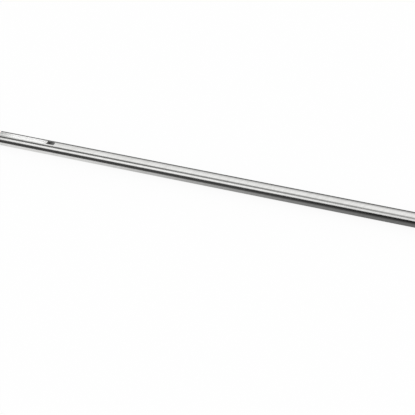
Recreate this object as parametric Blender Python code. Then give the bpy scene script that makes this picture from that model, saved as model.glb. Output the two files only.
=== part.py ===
"""Keyed fan shaft: one ground steel bar with an open keyway milled in one end.

Metres, +Z up. The bar lies along X, with its turning axis through the origin and its middle
at x = 0. The keyway opens at the -X end face and looks straight up.
"""

import math

import bmesh
import bpy

# Bar: 5/8 in ground stock, cut to 24 in
BAR_DIAMETER = 0.015875
BAR_LENGTH = 0.6096
KEYED_END_CHAMFER = 0.0010
PLAIN_END_CHAMFER = 0.0010

# Keyway: for a 3/16 in square key, its depth measured down the keyway's side
KEYWAY_WIDTH = 0.0047625
KEYWAY_SIDE_DEPTH = 0.00238125
KEYWAY_FULL_DEPTH_LENGTH = 0.0545
# The side mill that cuts the keyway leaves its own radius as the run-out
CUTTER_DIAMETER = 0.0635

# How finely round shapes are cut into flats. The bar's count is a multiple of four, so it
# has a corner at its top, its bottom and each side, and measures its full diameter there
BAR_FLATS = 64
RUN_OUT_FLATS = 20

# How far the cutting shape reaches past the surfaces that it opens
CUT_OVERSHOOT = 0.002

STEEL_COLOUR = (0.66, 0.66, 0.65, 1.0)
STEEL_ROUGHNESS = 0.22


def clear_scene():
    for obj in list(bpy.data.objects):
        bpy.data.objects.remove(obj)


def ground_steel():
    material = bpy.data.materials.new("ground_steel")
    material.use_nodes = True
    surface = material.node_tree.nodes["Principled BSDF"]
    surface.inputs["Base Color"].default_value = STEEL_COLOUR
    surface.inputs["Metallic"].default_value = 1.0
    surface.inputs["Roughness"].default_value = STEEL_ROUGHNESS
    material.diffuse_color = STEEL_COLOUR
    return material


def object_from(shape, name):
    """Ends a bmesh: points its faces outwards and puts it in the scene under that name."""
    bmesh.ops.recalc_face_normals(shape, faces=shape.faces)
    mesh = bpy.data.meshes.new(name)
    shape.to_mesh(mesh)
    shape.free()
    obj = bpy.data.objects.new(name, mesh)
    bpy.context.scene.collection.objects.link(obj)
    return obj


def turned_bar():
    """The bar as a lathe makes it: half its outline, turned about X."""
    radius = BAR_DIAMETER / 2
    half_length = BAR_LENGTH / 2
    outline = [
        (-half_length, 0.0),
        (-half_length, radius - KEYED_END_CHAMFER),
        (-half_length + KEYED_END_CHAMFER, radius),
        (half_length - PLAIN_END_CHAMFER, radius),
        (half_length, radius - PLAIN_END_CHAMFER),
        (half_length, 0.0),
    ]
    shape = bmesh.new()
    points = [shape.verts.new((x, 0.0, r)) for x, r in outline]
    edges = [shape.edges.new(pair) for pair in zip(points, points[1:])]
    bmesh.ops.spin(
        shape,
        geom=points + edges,
        axis=(1.0, 0.0, 0.0),
        cent=(0.0, 0.0, 0.0),
        angle=2.0 * math.pi,
        steps=BAR_FLATS,
    )
    bmesh.ops.remove_doubles(shape, verts=shape.verts, dist=1e-7)
    # The fan of triangles on each end becomes one flat face
    centres = [v for v in shape.verts if v.co.yz.length < 1e-7]
    bmesh.ops.dissolve_verts(shape, verts=centres)
    return object_from(shape, "fan_shaft")


def keyway_floor_height():
    """The floor's height above the shaft's axis. Its side wall is KEYWAY_SIDE_DEPTH deep."""
    side_wall_top = math.sqrt((BAR_DIAMETER / 2) ** 2 - (KEYWAY_WIDTH / 2) ** 2)
    return side_wall_top - KEYWAY_SIDE_DEPTH


def keyway_cutter():
    """What the side mill sweeps: a straight floor that rises at its end on the mill's radius."""
    floor = keyway_floor_height()
    top = BAR_DIAMETER / 2 + CUT_OVERSHOOT
    mouth = -BAR_LENGTH / 2 - CUT_OVERSHOOT
    run_out_start = -BAR_LENGTH / 2 + KEYWAY_FULL_DEPTH_LENGTH
    mill_radius = CUTTER_DIAMETER / 2
    sweep = math.acos(1.0 - (top - floor) / mill_radius)

    outline = [(mouth, top), (mouth, floor)]
    for step in range(RUN_OUT_FLATS + 1):
        turn = sweep * step / RUN_OUT_FLATS
        rise = mill_radius * (1.0 - math.cos(turn))
        outline.append((run_out_start + mill_radius * math.sin(turn), floor + rise))

    shape = bmesh.new()
    points = [shape.verts.new((x, -KEYWAY_WIDTH / 2, z)) for x, z in outline]
    side = shape.faces.new(points)
    swept = bmesh.ops.extrude_face_region(shape, geom=[side])
    far_points = [item for item in swept["geom"] if isinstance(item, bmesh.types.BMVert)]
    bmesh.ops.translate(shape, verts=far_points, vec=(0.0, KEYWAY_WIDTH, 0.0))
    return object_from(shape, "keyway_cutter")


def cut_keyway(shaft):
    cutter = keyway_cutter()
    cutter.hide_render = True
    cutter.display_type = "WIRE"
    cut = shaft.modifiers.new("keyway", "BOOLEAN")
    cut.operation = "DIFFERENCE"
    cut.solver = "EXACT"
    cut.object = cutter


def main():
    clear_scene()
    shaft = turned_bar()
    shaft.data.materials.append(ground_steel())
    shaft.data.shade_smooth()
    shaft.data.set_sharp_from_angle(angle=math.radians(30.0))
    cut_keyway(shaft)


main()
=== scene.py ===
"""Looks of the keyed fan shaft: ground, milled and turned steel on a pale studio table."""

import math

import bpy
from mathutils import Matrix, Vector


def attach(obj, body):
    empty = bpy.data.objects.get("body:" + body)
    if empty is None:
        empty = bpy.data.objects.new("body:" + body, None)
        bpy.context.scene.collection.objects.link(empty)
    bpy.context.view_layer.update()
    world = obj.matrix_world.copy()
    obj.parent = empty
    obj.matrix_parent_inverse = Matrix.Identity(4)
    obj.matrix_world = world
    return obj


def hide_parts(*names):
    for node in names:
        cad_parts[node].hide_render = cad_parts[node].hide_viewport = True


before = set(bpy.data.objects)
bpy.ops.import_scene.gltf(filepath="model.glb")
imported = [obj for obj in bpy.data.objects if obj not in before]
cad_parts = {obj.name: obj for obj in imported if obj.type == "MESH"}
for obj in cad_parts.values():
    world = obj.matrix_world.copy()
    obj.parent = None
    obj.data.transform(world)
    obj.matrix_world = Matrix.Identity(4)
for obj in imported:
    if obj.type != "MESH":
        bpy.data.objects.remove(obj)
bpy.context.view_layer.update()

# The bar and its keyway, in metres, the same sizes as the solid
BAR_DIAMETER = 0.015875
BAR_LENGTH = 0.6096
END_CHAMFER = 0.0010
KEYWAY_WIDTH = 0.0047625
KEYWAY_SIDE_DEPTH = 0.00238125
KEYWAY_FULL_DEPTH_LENGTH = 0.0545
CUTTER_DIAMETER = 0.0635

# The broken edges that a stone or a file leaves, and in how many steps each is rounded. The
# bevel narrows the keyway's to the room at its opening's shortest edge, about 0.005 mm
CHAMFER_EDGE_BREAK = 0.0001
CHAMFER_EDGE_STEPS = 3
KEYWAY_EDGE_BREAK = 0.00008
KEYWAY_EDGE_STEPS = 2

# How finely the shown surfaces are cut, and up to which angle they are shaded as round
BAR_SIDES = 256
CUTTER_SIDES = 720
SMOOTHING_ANGLE = math.radians(28)

RADIUS = BAR_DIAMETER / 2
HALF_WIDTH = KEYWAY_WIDTH / 2
KEYED_END = -BAR_LENGTH / 2
PLAIN_END = BAR_LENGTH / 2
KEYWAY_FLOOR = math.sqrt(RADIUS**2 - HALF_WIDTH**2) - KEYWAY_SIDE_DEPTH
RUN_OUT_START = KEYED_END + KEYWAY_FULL_DEPTH_LENGTH
CUTTER_RADIUS = CUTTER_DIAMETER / 2
CUTTER_CENTRE = Vector((RUN_OUT_START, 0.0, KEYWAY_FLOOR + CUTTER_RADIUS))
# No part of the keyway lies past the mill's far side
KEYWAY_LIMIT = RUN_OUT_START + CUTTER_RADIUS

# A ring of edges this far from each chamfer keeps the long round evenly shaded
CHAMFER_TO_RING = 0.0006
# How far outside the keyed end the mill's path begins
OVERSHOOT = 0.002
# Points nearer to each other than this are joined into one
CLOSE_POINTS = 0.000003

# How near a point lies to a surface that it is on, to the mill's curve, and a face to its own
POINT_WITHIN = 0.000001
CURVE_WITHIN = 0.000005
FACE_WITHIN = 0.00001

# How much of a face's normal points one way when it looks there squarely, partly or barely
SQUARELY = 0.9
PARTLY = 0.5
BARELY = 0.001


# Modelling by hand
def deselect_all():
    bpy.ops.object.select_all(action="DESELECT")


def select_only(piece):
    deselect_all()
    piece.select_set(True)
    bpy.context.view_layer.objects.active = piece


def open_whole(piece):
    """Opens the piece in edit mode with all of it selected."""
    select_only(piece)
    bpy.ops.object.mode_set(mode="EDIT")
    bpy.ops.mesh.select_all(action="SELECT")


def close_facing_out():
    """Points all faces outwards and leaves edit mode."""
    bpy.ops.mesh.select_all(action="SELECT")
    bpy.ops.mesh.normals_make_consistent(inside=False)
    bpy.ops.object.mode_set(mode="OBJECT")


def round_blank(name, diameter, length, sides, centre, turn):
    """A plain round piece, with its place and turn in its mesh."""
    deselect_all()
    bpy.ops.mesh.primitive_cylinder_add(
        vertices=sides, radius=diameter / 2, depth=length, location=centre, rotation=turn
    )
    piece = bpy.context.object
    piece.name = piece.data.name = name
    select_only(piece)
    bpy.ops.object.transform_apply(location=True, rotation=True, scale=True)
    return piece


def bevel_edges(piece, wanted, width, steps, clamp=False):
    """Bevels the edges that are wanted, each asked by its two ends, and stays in edit mode."""
    select_only(piece)
    bpy.context.tool_settings.mesh_select_mode = (False, True, False)
    bpy.ops.object.mode_set(mode="EDIT")
    bpy.ops.mesh.select_all(action="DESELECT")
    bpy.ops.object.mode_set(mode="OBJECT")
    points = piece.data.vertices
    for edge in piece.data.edges:
        edge.select = wanted(*(points[end].co for end in edge.vertices))
    bpy.ops.object.mode_set(mode="EDIT")
    bpy.ops.mesh.bevel(
        offset=width, offset_type="OFFSET", segments=steps, affect="EDGES", clamp_overlap=clamp
    )


def put_in_order(piece):
    """Numbers points and faces by where they are, because a cut leaves them in a chance order."""
    mesh = piece.data
    places = [tuple(point.co) for point in mesh.vertices]
    order = sorted(range(len(places)), key=lambda point: places[point])
    numbers = {point: number for number, point in enumerate(order)}
    faces = []
    for face in mesh.polygons:
        ring = [numbers[point] for point in face.vertices]
        first = ring.index(min(ring))
        faces.append(ring[first:] + ring[:first])
    mesh.clear_geometry()
    mesh.from_pydata([places[point] for point in order], [], sorted(faces))


def cut(piece, cutter):
    """Cuts one shape out of the piece and throws the cutting shape away."""
    select_only(piece)
    taking = piece.modifiers.new("cut", "BOOLEAN")
    taking.operation = "DIFFERENCE"
    taking.solver = "EXACT"
    taking.object = cutter
    bpy.ops.object.modifier_apply(modifier=taking.name)
    bpy.data.objects.remove(cutter)
    put_in_order(piece)


def merge_close_points(piece):
    """Joins points that a bevel left almost on each other, so that no sliver of a face stays."""
    open_whole(piece)
    bpy.ops.mesh.remove_doubles(threshold=CLOSE_POINTS)
    bpy.ops.mesh.dissolve_degenerate(threshold=CLOSE_POINTS)
    close_facing_out()


def from_bar_axis(point):
    return math.hypot(point.y, point.z)


def from_mill_axis(point):
    return math.hypot(point.x - CUTTER_CENTRE.x, point.z - CUTTER_CENTRE.z)


# The shaft
def chamfered_bar():
    def round_the_bar(a, b):
        return abs(a.x - b.x) < POINT_WITHIN

    bar = round_blank(
        "ground_bar", BAR_DIAMETER, BAR_LENGTH, BAR_SIDES, (0, 0, 0), (0, math.pi / 2, 0)
    )
    bevel_edges(bar, round_the_bar, END_CHAMFER, 1)
    bpy.ops.object.mode_set(mode="OBJECT")
    bevel_edges(bar, round_the_bar, CHAMFER_EDGE_BREAK, CHAMFER_EDGE_STEPS)
    for ring in (
        KEYED_END + END_CHAMFER + CHAMFER_TO_RING,
        PLAIN_END - END_CHAMFER - CHAMFER_TO_RING,
    ):
        bpy.ops.mesh.select_all(action="SELECT")
        bpy.ops.mesh.bisect(plane_co=(ring, 0, 0), plane_no=(1, 0, 0))
    bpy.ops.object.mode_set(mode="OBJECT")
    return bar


def mill_keyway(bar):
    """A side mill enters at the keyed end, cuts to full depth and is lifted out at the end."""
    mill = round_blank(
        "side_mill", CUTTER_DIAMETER, KEYWAY_WIDTH, CUTTER_SIDES, CUTTER_CENTRE, (math.pi / 2, 0, 0)
    )
    open_whole(mill)
    bpy.ops.mesh.bisect(
        plane_co=(RUN_OUT_START, 0, 0), plane_no=(1, 0, 0), use_fill=True, clear_inner=True
    )
    # The mill's path, drawn from its middle back past the keyed end
    bpy.ops.mesh.extrude_region_move(
        TRANSFORM_OT_translate={"value": (KEYED_END - OVERSHOOT - RUN_OUT_START, 0, 0)}
    )
    close_facing_out()
    cut(bar, mill)


def break_keyway_edges(bar):
    """Takes the sharp edge off where the keyway meets the round."""

    def on_wall(point):
        return abs(abs(point.y) - HALF_WIDTH) < POINT_WITHIN

    def on_run_out(point):
        on_curve = abs(from_mill_axis(point) - CUTTER_RADIUS) < CURVE_WITHIN
        return on_curve and point.x > RUN_OUT_START

    def on_opening(a, b):
        # An edge across the run-out has both ends on the round, but not its middle
        if min(from_bar_axis(point) for point in (a, b, (a + b) / 2)) < RADIUS - POINT_WITHIN:
            return False
        if max(a.x, b.x) > KEYWAY_LIMIT:
            return False
        return (on_wall(a) and on_wall(b) and a.y * b.y > 0) or (on_run_out(a) and on_run_out(b))

    bevel_edges(bar, on_opening, KEYWAY_EDGE_BREAK, KEYWAY_EDGE_STEPS, clamp=True)
    bpy.ops.object.mode_set(mode="OBJECT")
    merge_close_points(bar)


# Steel colours: each finish goes between a duller and a brighter one
GROUND_DULL = (0.67, 0.67, 0.655, 1.0)
GROUND_BRIGHT = (0.76, 0.76, 0.75, 1.0)
# The keyway's milled colour: near-white and shown as a non-metal, a painted highlight on steel that
# is really not shiny
MATTE_AND_HIGHLIGHT_DULL = (0.97, 0.97, 0.96, 1.0)
MATTE_AND_HIGHLIGHT_BRIGHT = (0.99, 0.99, 0.99, 1.0)
SMOOTH_DULL = (0.78, 0.78, 0.77, 1.0)
SMOOTH_BRIGHT = (0.84, 0.84, 0.83, 1.0)
SMOOTH_WALL = (0.81, 0.81, 0.80, 1.0)
TURNED_DULL = (0.57, 0.57, 0.555, 1.0)
TURNED_BRIGHT = (0.68, 0.68, 0.67, 1.0)
# Painted shade at the keyway's mouth, by the keyed end
MOUTH_PAINTED_SHADE = (0.66, 0.66, 0.65, 1.0)

# How high the marks stand, in metres. Scratches go in
FINE_GRINDING = 0.7e-6
BROAD_GRINDING = 2.0e-6
HANDLING_SCRATCH = -1.0e-6
FEED_MARK = 1.2e-5
TOOTH_MARK = 1.0e-6
TURNED_RING = 6.0e-6

# How steeply the polishing streaks and the grinding marks wind along the bar, in radians
STREAK_SLANT = math.radians(41)
GRINDING_SLANT = 0.02

# How fine the turned rings and the feed marks are, as the scales of their patterns
RING_FINENESS = 9000.0
FEED_FINENESS = 700.0

# Along the keyway: how far in from its mouth the painted shade reaches, and where the mill's lift
# changes its marks
PAINTED_SHADE_LENGTH = 0.017
FLOOR_LIFT_LENGTH = 0.0008
WALL_LIFT_BEFORE = 0.0015
WALL_LIFT_AFTER = 0.001


# How a finish is put together
def fill(tree, socket, value):
    """Gives an input what it takes: another node's output, or a number or colour of its own."""
    if isinstance(value, bpy.types.NodeSocket):
        tree.links.new(value, socket)
    else:
        socket.default_value = value


def node(tree, kind, **settings):
    """Adds a node. What isn't one of its own settings goes into the input of that name."""
    made = tree.nodes.new(kind)
    for name, value in settings.items():
        if hasattr(made, name):
            setattr(made, name, value)
        else:
            fill(tree, made.inputs[name.replace("_", " ")], value)
    return made


def object_place(tree):
    return node(tree, "ShaderNodeTexCoord").outputs["Object"]


def parts_of(tree, vector):
    """The X, Y and Z of a place."""
    return node(tree, "ShaderNodeSeparateXYZ", Vector=vector).outputs


def mapped(tree, vector, scale=(1, 1, 1), turn=(0, 0, 0)):
    made = node(tree, "ShaderNodeMapping", Vector=vector, Scale=scale, Rotation=turn)
    return made.outputs["Vector"]


def noise(tree, vector, detail=2.0, roughness=0.5):
    made = node(
        tree, "ShaderNodeTexNoise", Vector=vector, Scale=1.0, Detail=detail, Roughness=roughness
    )
    return made.outputs["Fac"]


def marks(tree, scale, slant=0.0, detail=2.0, roughness=0.5):
    """Uneven marks, about as many to a metre each way as the scale says."""
    place = mapped(tree, object_place(tree), scale, (0, 0, slant))
    return noise(tree, place, detail, roughness)


def spread(tree, value, low, high, from_low=0.3, from_high=0.7):
    """Turns values between two limits, the usual ones of noise, into values from low to high."""
    made = node(
        tree, "ShaderNodeMapRange", clamp=True, Value=value,
        From_Min=from_low, From_Max=from_high, To_Min=low, To_Max=high,
    )
    return made.outputs["Result"]


def by_share(tree, share, at_none, at_all):
    """From one number, at a share of 0, to another, at 1."""
    return spread(tree, share, at_none, at_all, 0.0, 1.0)


def share_along(tree, start, end):
    """Rises from 0 to 1 between two places along the bar."""
    return spread(tree, parts_of(tree, object_place(tree))["X"], 0.0, 1.0, start, end)


def worked_out(tree, operation, first, second):
    made = node(tree, "ShaderNodeMath", operation=operation)
    for socket, value in zip(made.inputs, (first, second)):
        fill(tree, socket, value)
    return made.outputs["Value"]


def plus(tree, first, second):
    return worked_out(tree, "ADD", first, second)


def times(tree, first, second):
    return worked_out(tree, "MULTIPLY", first, second)


def two_colours(tree, share, first, second):
    """From the first colour, at a share of 0, to the second, at 1."""
    made = node(tree, "ShaderNodeMix", data_type="RGBA", Factor=share)
    colours = [socket for socket in made.inputs if socket.type == "RGBA"]
    for socket, colour in zip(colours, (first, second)):
        fill(tree, socket, colour)
    return next(socket for socket in made.outputs if socket.type == "RGBA")


def bumped(tree, height, distance, before=None):
    """Adds marks of this height to the relief that is there before."""
    made = node(tree, "ShaderNodeBump", Strength=1.0, Distance=distance, Height=height)
    if before:
        tree.links.new(before, made.inputs["Normal"])
    return made.outputs["Normal"]


def new_finish(name):
    finish = bpy.data.materials.new(name)
    finish.use_nodes = True
    return finish, finish.node_tree


def steel_look(finish, metallic, colour, roughness, relief):
    tree = finish.node_tree
    steel = tree.nodes["Principled BSDF"].inputs
    fill(tree, steel["Metallic"], metallic)
    fill(tree, steel["Base Color"], colour)
    fill(tree, steel["Roughness"], roughness)
    fill(tree, steel["Normal"], relief)
    return finish


# Finishes
def polish_streaks(tree):
    """Faint streaks that wind round the bar like a steep thread, from a polishing belt."""
    place = parts_of(tree, object_place(tree))
    turn = worked_out(tree, "ARCTAN2", place["Y"], place["Z"])
    unrolled = node(tree, "ShaderNodeCombineXYZ", X=place["X"], Y=times(tree, turn, RADIUS))
    slanted = mapped(tree, unrolled.outputs["Vector"], turn=(0, 0, STREAK_SLANT))
    return noise(tree, mapped(tree, slanted, scale=(420, 45, 1)))


def ground_finish():
    """Centreless ground and polished: fine marks round it, a few handling scratches along it."""
    finish, tree = new_finish("ground_and_polished_steel")
    fine_marks = marks(tree, (7000, 90, 90), GRINDING_SLANT, detail=3)
    broad_marks = marks(tree, (900, 25, 25), GRINDING_SLANT)
    handling = marks(tree, (14, 1400, 1400))
    film = marks(tree, (30, 160, 160), detail=4, roughness=0.6)
    tone = times(tree, plus(tree, broad_marks, film), 0.25)
    tone = plus(tree, tone, times(tree, polish_streaks(tree), 0.5))
    colour = two_colours(
        tree, spread(tree, tone, 0.0, 1.0, 0.40, 0.60), GROUND_DULL, GROUND_BRIGHT
    )
    roughness = plus(
        tree, spread(tree, film, 0.10, 0.14), spread(tree, broad_marks, -0.01, 0.01)
    )
    scratches = spread(tree, handling, 0.0, 1.0, 0.66, 0.78)
    relief = bumped(tree, fine_marks, FINE_GRINDING)
    relief = bumped(tree, broad_marks, BROAD_GRINDING, relief)
    relief = bumped(tree, scratches, HANDLING_SCRATCH, relief)
    return steel_look(finish, 1.0, colour, roughness, relief)


def painted_shade_at_mouth(tree, colour):
    """Painted shade: the keyway's colour darkens towards the keyed end, where the flag at the left
    shades it.
    """
    inward = share_along(tree, KEYED_END, KEYED_END + PAINTED_SHADE_LENGTH)
    return two_colours(tree, inward, MOUTH_PAINTED_SHADE, colour)


def milled_finish():
    """The keyway's floor: feed marks across it, not shiny and painted near-white as a highlight;
    smooth steel where the mill lifts.
    """
    finish, tree = new_finish("milled_steel")
    lifting = share_along(tree, RUN_OUT_START, RUN_OUT_START + FLOOR_LIFT_LENGTH)
    feed = node(
        tree, "ShaderNodeTexWave", wave_type="BANDS", bands_direction="X", wave_profile="SAW",
        Vector=mapped(tree, object_place(tree), (1, 0.05, 0.05)),
        Scale=FEED_FINENESS, Distortion=2.0, Detail=2.0, Detail_Scale=0.3,
    )
    drift = marks(tree, (260, 20, 20))
    feed_marks = plus(tree, times(tree, feed.outputs["Fac"], 0.5), drift)
    stain = marks(tree, (60, 200, 200), detail=4, roughness=0.6)
    tone = times(tree, plus(tree, stain, feed_marks), 0.5)
    # Painted highlight: the floor's colour is near-white, and before the lift it is a non-metal
    matte_and_highlight = two_colours(tree, spread(tree, tone, 0.0, 1.0, 0.3, 0.8), MATTE_AND_HIGHLIGHT_DULL, MATTE_AND_HIGHLIGHT_BRIGHT)
    smooth = two_colours(tree, spread(tree, stain, 0.0, 1.0), SMOOTH_DULL, SMOOTH_BRIGHT)
    # Painted shade darkens the floor's colour towards the keyed end
    colour = two_colours(tree, lifting, painted_shade_at_mouth(tree, matte_and_highlight), smooth)
    roughness = plus(tree, spread(tree, stain, 0.26, 0.34), by_share(tree, lifting, 0.0, -0.22))
    fading_marks = times(tree, feed_marks, by_share(tree, lifting, 1.0, 0.0))
    relief = bumped(tree, marks(tree, (2400, 60, 60)), TOOTH_MARK)
    relief = bumped(tree, fading_marks, FEED_MARK, relief)
    return steel_look(finish, lifting, colour, roughness, relief)


def wall_finish():
    """The keyway's side walls: not shiny from the sides of the teeth and painted near-white as a
    highlight; bright steel where the mill lifts.
    """
    finish, tree = new_finish("side_milled_steel")
    lifting = share_along(tree, RUN_OUT_START - WALL_LIFT_BEFORE, RUN_OUT_START + WALL_LIFT_AFTER)
    stain = marks(tree, (150, 300, 300), detail=3)
    # Painted highlight: the walls' colour is near-white, and before the lift it is a non-metal
    matte_and_highlight = two_colours(tree, spread(tree, stain, 0.0, 1.0), MATTE_AND_HIGHLIGHT_DULL, MATTE_AND_HIGHLIGHT_BRIGHT)
    # Painted shade darkens the walls' colour towards the keyed end
    colour = two_colours(tree, lifting, painted_shade_at_mouth(tree, matte_and_highlight), SMOOTH_WALL)
    roughness = plus(tree, spread(tree, stain, 0.14, 0.20), by_share(tree, lifting, 0.0, -0.1))
    relief = bumped(tree, marks(tree, (260, 260, 5200)), TOOTH_MARK)
    return steel_look(finish, lifting, colour, roughness, relief)


def turned_finish():
    """The chamfers and end faces: rings round the axis, as the facing tool leaves them."""
    finish, tree = new_finish("turned_steel")
    place = parts_of(tree, object_place(tree))
    squares = [times(tree, place[way], place[way]) for way in ("Y", "Z")]
    out_from_axis = worked_out(tree, "POWER", plus(tree, *squares), 0.5)
    rings_at = node(tree, "ShaderNodeCombineXYZ", X=times(tree, out_from_axis, RING_FINENESS))
    rings = noise(tree, rings_at.outputs["Vector"])
    stain = marks(tree, (200, 260, 260), detail=4, roughness=0.6)
    colour = two_colours(tree, spread(tree, stain, 0.0, 1.0), TURNED_DULL, TURNED_BRIGHT)
    roughness = spread(tree, stain, 0.20, 0.32)
    return steel_look(finish, 1.0, colour, roughness, bumped(tree, rings, TURNED_RING))


def dress(bar):
    """Gives each face of the bar the finish that its own tool left."""
    for finish in (ground_finish(), milled_finish(), wall_finish(), turned_finish()):
        bar.data.materials.append(finish)
    ground, milled, wall, turned = range(4)
    end_starts = PLAIN_END - END_CHAMFER - CHAMFER_EDGE_BREAK
    for face in bar.data.polygons:
        middle, normal = face.center, face.normal
        in_keyway = abs(middle.y) < HALF_WIDTH + FACE_WITHIN and middle.x < KEYWAY_LIMIT
        on_wall = abs(normal.y) > SQUARELY and abs(middle.y) > HALF_WIDTH - FACE_WITHIN
        on_floor = normal.z > SQUARELY and abs(middle.z - KEYWAY_FLOOR) < FACE_WITHIN
        on_run_out = (
            middle.x > RUN_OUT_START
            and from_mill_axis(middle) < CUTTER_RADIUS + FACE_WITHIN
            and normal.z > PARTLY
            and normal.x < -BARELY
        )
        if abs(normal.x) > PARTLY and abs(middle.x) > end_starts:
            face.material_index = turned
        elif in_keyway and on_wall:
            face.material_index = wall
        elif in_keyway and (on_floor or on_run_out):
            face.material_index = milled
        else:
            face.material_index = ground


def fan_shaft():
    bar = chamfered_bar()
    mill_keyway(bar)
    break_keyway_edges(bar)
    select_only(bar)
    bpy.ops.object.shade_smooth_by_angle(angle=SMOOTHING_ANGLE)
    evening = bar.modifiers.new("even_shading", "WEIGHTED_NORMAL")
    evening.keep_sharp = True
    bpy.ops.object.modifier_apply(modifier=evening.name)
    dress(bar)
    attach(bar, "root")
    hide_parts("fan_shaft")


# The studio: its table and room
WHITE = (1.0, 1.0, 1.0, 1.0)
TABLE_TOP = -RADIUS
TABLE_SIZE = 40
TABLE_COLOUR = (0.9, 0.9, 0.9, 1.0)
# To the camera and in the shine, this share of the table is plain white, and the rest is lit
TABLE_GLOW = 0.92
# The room's light has strength 1, and rises to this overhead, between two heights: the horizon
# is at 0 and the point straight above at 1
ROOM_OVERHEAD = 1.12
OVERHEAD_FROM = 0.75
OVERHEAD_TO = 0.92

# Left and right ends of the long cards, and of the short ones next to the shaft
LONG_ENDS = (-5.05, 4.95)
SHORT_ENDS = (-0.55, 0.45)
# How far the raised cards stand from the shaft's axis
CARD_DISTANCE = 1.667
UPPER_CARD_DISTANCE = 1.333
# Where the cards on the table meet or end, from front to back, and how high they lie
TABLE_CARDS_FRONT = -5
FRONT_TO_MIDDLE = -0.0583
MIDDLE_TO_NEAR = -0.0225
NEAR_BACK = 0.010
BEHIND_FRONT = 0.015
TABLE_CARDS_BACK = 5
LONG_CARD_HEIGHT = TABLE_TOP + 0.0003
SHORT_CARD_HEIGHT = TABLE_TOP + 0.0004

# The side flags stand left of the keyed end, black at the top and grey at their lower edge
FLAG_PLACE = -0.80
FLAG_LOWER_EDGE = 0.10
FLAG_SIDES = 64
FLAG_LEVELS = ((0.08, 0.07), (0.40, 0.25))
FLAG_RADIUS_BEHIND = 1.108
FLAG_RADIUS_IN_FRONT = 1.042

# The camera looks this many degrees below level, and to the left of straight across. Its
# range is what it sees, from near to far
CAMERA_PLACE = (0.100075, -0.594258, 0.649608)
CAMERA_DOWN = 48.5
CAMERA_LEFT = 15.247
CAMERA_LENS = 71.96
CAMERA_SENSOR = 36
CAMERA_RANGE = (0.01, 60)


def new_paint(name):
    """A finish for the studio, with nothing yet on its surface."""
    paint, tree = new_finish(name)
    tree.nodes.remove(tree.nodes["Principled BSDF"])
    return paint, tree, tree.nodes["Material Output"].inputs["Surface"]


def table_paint():
    """White where the camera, the metal's shine or glass sees it, with the shaft's shadow kept."""
    paint, tree, surface = new_paint("white_table")
    lit = node(tree, "ShaderNodeBsdfDiffuse", Color=TABLE_COLOUR)
    white = node(tree, "ShaderNodeEmission", Color=WHITE, Strength=1.0)
    rays = node(tree, "ShaderNodeLightPath").outputs
    seen = worked_out(tree, "MAXIMUM", rays["Is Camera Ray"], rays["Is Glossy Ray"])
    seen = worked_out(tree, "MAXIMUM", seen, rays["Is Transmission Ray"])
    mix = node(tree, "ShaderNodeMixShader", Fac=times(tree, seen, TABLE_GLOW))
    tree.links.new(lit.outputs["BSDF"], mix.inputs[1])
    tree.links.new(white.outputs["Emission"], mix.inputs[2])
    tree.links.new(mix.outputs["Shader"], surface)
    return paint


def table():
    deselect_all()
    bpy.ops.mesh.primitive_plane_add(size=TABLE_SIZE, location=(0, 0, TABLE_TOP))
    top = bpy.context.object
    top.name = "table_top"
    top.data.materials.append(table_paint())


def studio_walls():
    """A white room, a little brighter overhead, that lights everything softly and evenly."""
    world = bpy.data.worlds.new("white_room")
    bpy.context.scene.world = world
    world.use_nodes = True
    tree = world.node_tree
    back = tree.nodes["Background"].inputs
    back["Color"].default_value = WHITE
    height = parts_of(tree, node(tree, "ShaderNodeTexCoord").outputs["Generated"])["Z"]
    overhead = spread(tree, height, 1.0, ROOM_OVERHEAD, OVERHEAD_FROM, OVERHEAD_TO)
    tree.links.new(overhead, back["Strength"])


def ramp(tree, value, stops):
    """Grey levels along a card, each stop a place from 0 to 1 and a level."""
    made = node(tree, "ShaderNodeValToRGB", Fac=value)
    scale = made.color_ramp
    while len(scale.elements) < len(stops):
        scale.elements.new(1.0)
    for element, (place, level) in zip(scale.elements, stops):
        element.position = place
        element.color = (level, level, level, 1.0)
    return made.outputs["Color"]


def card_paint(name, along, across=((0.0, 1.0), (1.0, 1.0))):
    """A card's own grey: levels from its left to its right end, and from its low to its high side.

    A card is a plane one metre wide until it is stretched, so its places run from -0.5 to 0.5.
    """
    paint, tree, surface = new_paint(name)
    place = parts_of(tree, object_place(tree))
    levels = times(
        tree,
        ramp(tree, plus(tree, place["X"], 0.5), along),
        ramp(tree, plus(tree, place["Y"], 0.5), across),
    )
    glow = node(tree, "ShaderNodeEmission", Strength=levels)
    tree.links.new(glow.outputs["Emission"], surface)
    return paint


def only_in_reflections(card):
    """The cards stand off the frame: only the steel's shine shows them."""
    card.visible_camera = False
    card.visible_diffuse = False
    card.visible_transmission = False
    card.visible_shadow = False


def put_card(name, middle, ends, depth, tilt, paint):
    """A card between two ends along the shaft. Its middle is a place across it and a height."""
    deselect_all()
    bpy.ops.mesh.primitive_plane_add(size=1, location=((ends[0] + ends[1]) / 2, *middle))
    card = bpy.context.object
    card.name = name
    card.rotation_euler = (tilt, 0, 0)
    card.scale = (ends[1] - ends[0], depth, 1)
    card.data.materials.append(paint)
    only_in_reflections(card)


def raised_card(name, low_angle, high_angle, distance, paint):
    """A card along the shaft, between two angles up from level in front of it."""
    low, high = (
        Vector((-distance * math.cos(turn), distance * math.sin(turn)))
        for turn in (math.radians(low_angle), math.radians(high_angle))
    )
    across = high - low
    tilt = math.atan2(across.y, across.x)
    put_card(name, (low + high) / 2, LONG_ENDS, across.length, tilt, paint)


def table_card(name, ends, front, back, height, paint):
    """A card that lies on the table, from its front edge to its back one."""
    put_card(name, ((front + back) / 2, height), ends, back - front, 0, paint)


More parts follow.
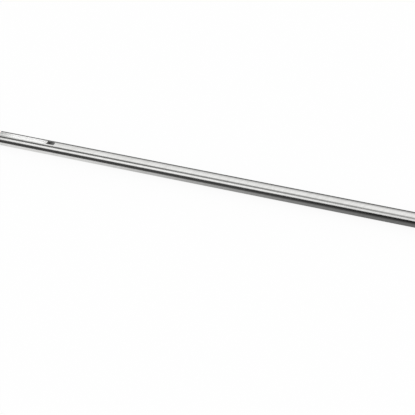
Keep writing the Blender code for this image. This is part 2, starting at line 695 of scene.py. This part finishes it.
def side_flag(name, radius, away):
    """A half-round flag at the left, which darkens the keyed end and the run-out."""
    deselect_all()
    bpy.ops.mesh.primitive_circle_add(vertices=FLAG_SIDES, radius=radius, fill_type="NGON")
    flag = bpy.context.object
    flag.name = name
    open_whole(flag)
    bpy.ops.mesh.bisect(plane_co=(0, 0, 0), plane_no=away, clear_inner=True)
    bpy.ops.mesh.select_all(action="SELECT")
    bpy.ops.mesh.bisect(plane_co=(-FLAG_LOWER_EDGE, 0, 0), plane_no=(1, 0, 0), clear_outer=True)
    bpy.ops.object.mode_set(mode="OBJECT")
    flag.data.materials.append(card_paint(name + "_black", FLAG_LEVELS))
    flag.rotation_euler = (0, math.radians(90), 0)
    flag.location = (FLAG_PLACE, 0, 0)
    only_in_reflections(flag)
    flag.visible_shadow = True


def at_places(ends, levels):
    """Turns levels at places along the shaft, in metres, into places along the card."""
    return [((x - ends[0]) / (ends[1] - ends[0]), level) for x, level in levels]


def cards():
    """Cards in front, above, behind and on the table, which the steel shows as long bands."""
    front = card_paint(
        "front_card_grey",
        ((0.45, 0.87), (0.469, 0.84), (0.488, 0.56), (0.507, 0.28), (0.53, 0.13)),
        ((0.0, 0.06), (0.45, 0.06), (0.62, 0.11), (0.8, 0.345), (0.92, 0.90), (1.0, 1.38)),
    )
    raised_card("card_in_front", -3, 27, CARD_DISTANCE, front)
    stripe = card_paint("stripe_card_white", ((0.46, 1.17), (0.48, 1.13), (0.52, 0.98)))
    raised_card("white_card_in_front", 27, 55, CARD_DISTANCE, stripe)
    above = card_paint(
        "upper_card_grey",
        ((0.43, 0.15), (0.455, 0.225), (0.478, 0.30), (0.5, 0.34), (0.53, 0.46)),
        ((0.0, 1.0), (0.6, 1.0), (1.0, 1.8)),
    )
    raised_card("card_above_front", 52.6, 80.3, UPPER_CARD_DISTANCE, above)
    behind = card_paint(
        "rear_card_grey",
        ((0.40, 1.5), (0.414, 1.2), (0.424, 1.0), (0.52, 0.8)),
        ((0.0, 0.15), (0.3, 0.4), (0.6, 0.75), (1.0, 1.0)),
    )
    raised_card("card_behind", 182, 140, CARD_DISTANCE, behind)
    near_levels = (
        (-0.2316, 0.78), (-0.2079, 0.76), (-0.1379, 0.58), (-0.0474, 0.36),
        (0.04, 0.24), (0.114, 0.187), (0.1503, 0.17),
    )
    near = card_paint(
        "near_card_grey",
        at_places(SHORT_ENDS, near_levels),
        ((0.0, 1.08), (0.3, 1.16), (0.6, 0.98), (1.0, 0.86)),
    )
    middle = card_paint(
        "middle_card_grey",
        ((0.3, 0.78), (0.5, 1.0), (0.6, 1.12), (0.7, 1.0)),
        ((0.0, 0.055), (0.7, 0.10), (1.0, 0.17)),
    )
    dark = card_paint("table_card_black", ((0.48, 0.065), (0.52, 0.05)))
    for place, ends, front_edge, back_edge, height, paint in (
        ("near", SHORT_ENDS, MIDDLE_TO_NEAR, NEAR_BACK, SHORT_CARD_HEIGHT, near),
        ("middle", SHORT_ENDS, FRONT_TO_MIDDLE, MIDDLE_TO_NEAR, SHORT_CARD_HEIGHT, middle),
        ("front", LONG_ENDS, TABLE_CARDS_FRONT, FRONT_TO_MIDDLE, LONG_CARD_HEIGHT, dark),
        ("behind", LONG_ENDS, BEHIND_FRONT, TABLE_CARDS_BACK, LONG_CARD_HEIGHT, dark),
    ):
        table_card("card_on_table_" + place, ends, front_edge, back_edge, height, paint)
    side_flag("side_flag_behind", FLAG_RADIUS_BEHIND, (0, 1, 0))
    side_flag("side_flag_in_front", FLAG_RADIUS_IN_FRONT, (0, -1, 0))


def camera():
    lens = bpy.data.cameras.new("studio_camera")
    lens.sensor_width = CAMERA_SENSOR
    lens.lens = CAMERA_LENS
    lens.clip_start, lens.clip_end = CAMERA_RANGE
    body = bpy.data.objects.new("studio_camera", lens)
    bpy.context.scene.collection.objects.link(body)
    body.location = CAMERA_PLACE
    body.rotation_euler = (math.radians(90 - CAMERA_DOWN), 0, math.radians(CAMERA_LEFT))
    bpy.context.scene.camera = body


fan_shaft()
table()
studio_walls()
cards()
camera()
bpy.context.scene.view_settings.view_transform = "Standard"
